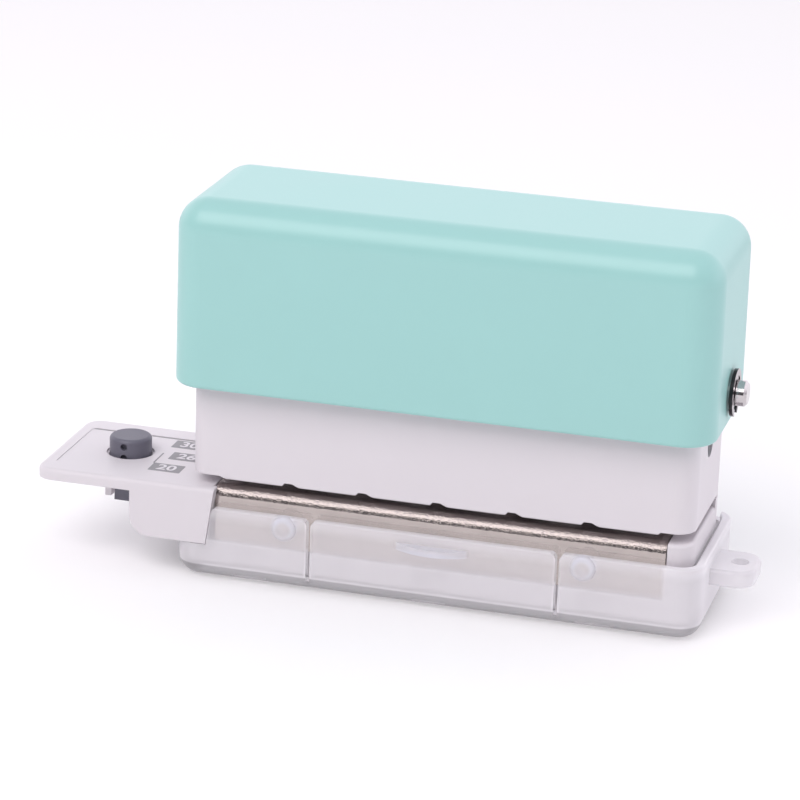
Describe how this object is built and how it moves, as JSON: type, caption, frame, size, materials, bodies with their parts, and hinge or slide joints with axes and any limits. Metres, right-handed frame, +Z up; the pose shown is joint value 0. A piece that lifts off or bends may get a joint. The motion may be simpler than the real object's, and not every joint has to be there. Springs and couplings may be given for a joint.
{
  "type": "six-hole punch",
  "caption": "Hand-pressed loose-leaf paper punch: a rounded cap slides down over a housing and drives a row of pins through a die plate, above a hinged chip tray.",
  "frame": {"origin": "on the table, under the middle of the row of punches", "axes": "+X along the row towards the hanging lug, +Y to the rear, +Z up"},
  "size_m": [0.0908, 0.0238, 0.049],
  "materials": {
    "mint_plastic": "soft satin moulded",
    "white_plastic": "fine matt moulded",
    "clear_plastic": "frosted translucent",
    "grey_plastic": "matt moulded",
    "die_steel": "plated, rolled edge",
    "punch_steel": "ground",
    "shaft_steel": "plated",
    "clip_steel": "dark oxide",
    "spring_steel": "drawn wire",
    "screw_steel": "zinc plated"
  },
  "bodies": {
    "base": {"base_frame": "white_plastic", "die_plate": "die_steel", "die_rivets": "die_steel", "upper_body": "white_plastic", "body_screws": "screw_steel", "punch_guide": "die_steel", "guide_screws": "screw_steel", "tray_hinge_pin": "shaft_steel", "return_spring_1": "spring_steel", "return_spring_2": "spring_steel", "return_spring_3": "spring_steel", "return_spring_4": "spring_steel", "return_spring_5": "spring_steel", "return_spring_6": "spring_steel"},
    "press": {"press_cover": "mint_plastic", "press_bar": "die_steel", "press_shaft": "shaft_steel", "shaft_clip_left": "clip_steel", "shaft_clip_right": "clip_steel", "punch_pin_1": "punch_steel", "punch_pin_2": "punch_steel", "punch_pin_3": "punch_steel", "punch_pin_4": "punch_steel", "punch_pin_5": "punch_steel", "punch_pin_6": "punch_steel"},
    "peg": {"index_peg": "grey_plastic"},
    "tray": {"chip_tray": "clear_plastic"}
  },
  "joints": [
    {"name": "press_slide", "type": "slide", "parent": "base", "child": "press", "axis": [0, 0, 1], "range_m": [-0.00685, 0], "stiffness_N_per_m": 1500, "springref_m": 0.004, "deforming": ["return_spring_1", "return_spring_2", "return_spring_3", "return_spring_4", "return_spring_5", "return_spring_6"]},
    {"name": "peg_slide", "type": "slide", "parent": "base", "child": "peg", "axis": [0, 0, 1], "range_m": [-0.0022, 0]},
    {"name": "tray_swing", "type": "hinge", "parent": "base", "child": "tray", "pos_m": [0, 0.0109, 0.0072], "axis": [1, 0, 0], "range_deg": [0, 80]}
  ]
}
